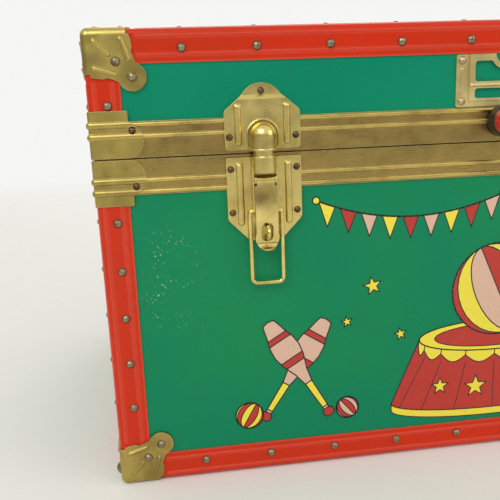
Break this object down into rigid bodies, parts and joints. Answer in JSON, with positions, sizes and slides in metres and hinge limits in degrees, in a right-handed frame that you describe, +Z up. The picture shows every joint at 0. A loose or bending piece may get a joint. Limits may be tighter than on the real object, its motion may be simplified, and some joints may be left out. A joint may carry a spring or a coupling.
{
  "type": "tin trunk",
  "caption": "Small tin-clad trunk: hinged lid, draw-bolt latches with wire bails, corner caps, edge strips, rails, end handles.",
  "frame": {"origin": "on the floor, under the middle of the whole trunk's box with its knob and hinges", "axes": "+X to the trunk's right, -Y out of its front, +Z up"},
  "size_m": [0.5484, 0.345, 0.2991],
  "materials": {
    "plywood": "sanded birch plywood",
    "green_enamel": "gloss enamel on tinned steel",
    "red_enamel": "gloss enamel on rolled steel",
    "lining_paper": "pasted paper",
    "nickel_rivets": "nickel-plated steel",
    "dark_rivets": "oxidised steel",
    "bare_steel": "drawn steel",
    "brass_plate": "brass-plated pressed steel, satin",
    "black_plastic": "moulded",
    "red_plastic": "moulded"
  },
  "bodies": {
    "body": {"body_floor_board": "plywood", "body_front_board": "plywood", "body_back_board": "plywood", "body_end_boards": "plywood", "body_front_tin": "green_enamel", "body_back_tin": "green_enamel", "body_end_tins": "green_enamel", "body_base_tin": "green_enamel", "body_lining": "lining_paper", "body_dust_lip": "brass_plate", "body_base_strips": "red_enamel", "body_corner_strips": "red_enamel", "lower_corner_caps": "brass_plate", "body_rails": "brass_plate", "body_rail_clamps": "brass_plate", "left_latch_body_plate": "brass_plate", "left_latch_staple": "brass_plate", "left_latch_pin": "bare_steel", "right_latch_body_plate": "brass_plate", "right_latch_staple": "brass_plate", "right_latch_pin": "bare_steel", "hinge_body_leaves": "brass_plate", "hinge_pins": "bare_steel", "left_handle_plate": "brass_plate", "right_handle_plate": "brass_plate", "body_strip_rivets": "nickel_rivets", "body_hardware_rivets": "dark_rivets"},
    "lid": {"lid_top_board": "plywood", "lid_front_board": "plywood", "lid_back_board": "plywood", "lid_end_boards": "plywood", "lid_top_tin": "green_enamel", "lid_front_tin": "green_enamel", "lid_back_tin": "green_enamel", "lid_end_tins": "green_enamel", "lid_lining": "lining_paper", "lid_top_strips": "red_enamel", "lid_corner_strips": "red_enamel", "upper_corner_caps": "brass_plate", "lid_rails": "brass_plate", "lid_rail_clamps": "brass_plate", "left_latch_lid_plate": "brass_plate", "right_latch_lid_plate": "brass_plate", "hinge_lid_leaves": "brass_plate", "card_holder": "brass_plate", "knob_base": "black_plastic", "knob_cap": "red_plastic", "lid_strip_rivets": "nickel_rivets", "lid_hardware_rivets": "dark_rivets"},
    "left_lever": {"left_latch_lever": "brass_plate"},
    "left_tongue": {"left_latch_tongue": "brass_plate"},
    "left_bail": {"left_latch_bail": "brass_plate"},
    "left_handle": {"left_handle_bail": "brass_plate"},
    "right_lever": {"right_latch_lever": "brass_plate"},
    "right_tongue": {"right_latch_tongue": "brass_plate"},
    "right_bail": {"right_latch_bail": "brass_plate"},
    "right_handle": {"right_handle_bail": "brass_plate"}
  },
  "joints": [
    {"name": "lid_hinge", "type": "hinge", "parent": "body", "child": "lid", "pos_m": [0, 0.16927, 0.2204], "axis": [-1, 0, 0], "range_deg": [0, 105]},
    {"name": "left_lever_hinge", "type": "hinge", "parent": "body", "child": "left_lever", "pos_m": [-0.1578, -0.16088, 0.2038], "axis": [-1, 0, 0], "range_deg": [0, 130]},
    {"name": "left_tongue_pivot", "type": "hinge", "parent": "left_lever", "child": "left_tongue", "pos_m": [-0.1578, -0.15998, 0.1846], "axis": [-1, 0, 0], "range_deg": [-130, 0]},
    {"name": "left_bail_pivot", "type": "hinge", "parent": "left_lever", "child": "left_bail", "pos_m": [-0.1578, -0.15998, 0.1846], "axis": [-1, 0, 0], "range_deg": [0, 60]},
    {"name": "right_lever_hinge", "type": "hinge", "parent": "body", "child": "right_lever", "pos_m": [0.1578, -0.16088, 0.2038], "axis": [-1, 0, 0], "range_deg": [0, 130]},
    {"name": "right_tongue_pivot", "type": "hinge", "parent": "right_lever", "child": "right_tongue", "pos_m": [0.1578, -0.15998, 0.1846], "axis": [-1, 0, 0], "range_deg": [-130, 0]},
    {"name": "right_bail_pivot", "type": "hinge", "parent": "right_lever", "child": "right_bail", "pos_m": [0.1578, -0.15998, 0.1846], "axis": [-1, 0, 0], "range_deg": [0, 60]},
    {"name": "right_handle_swing", "type": "hinge", "parent": "body", "child": "right_handle", "pos_m": [0.2682, 0.00477, 0.15], "axis": [0, -1, 0], "range_deg": [0, 90]},
    {"name": "left_handle_swing", "type": "hinge", "parent": "body", "child": "left_handle", "pos_m": [-0.2682, 0.00477, 0.15], "axis": [0, 1, 0], "range_deg": [0, 90]}
  ],
  "couplings": [
    {"joint": "left_tongue_pivot", "follows": "left_lever_hinge", "ratio": -1},
    {"joint": "right_tongue_pivot", "follows": "right_lever_hinge", "ratio": -1}
  ]
}
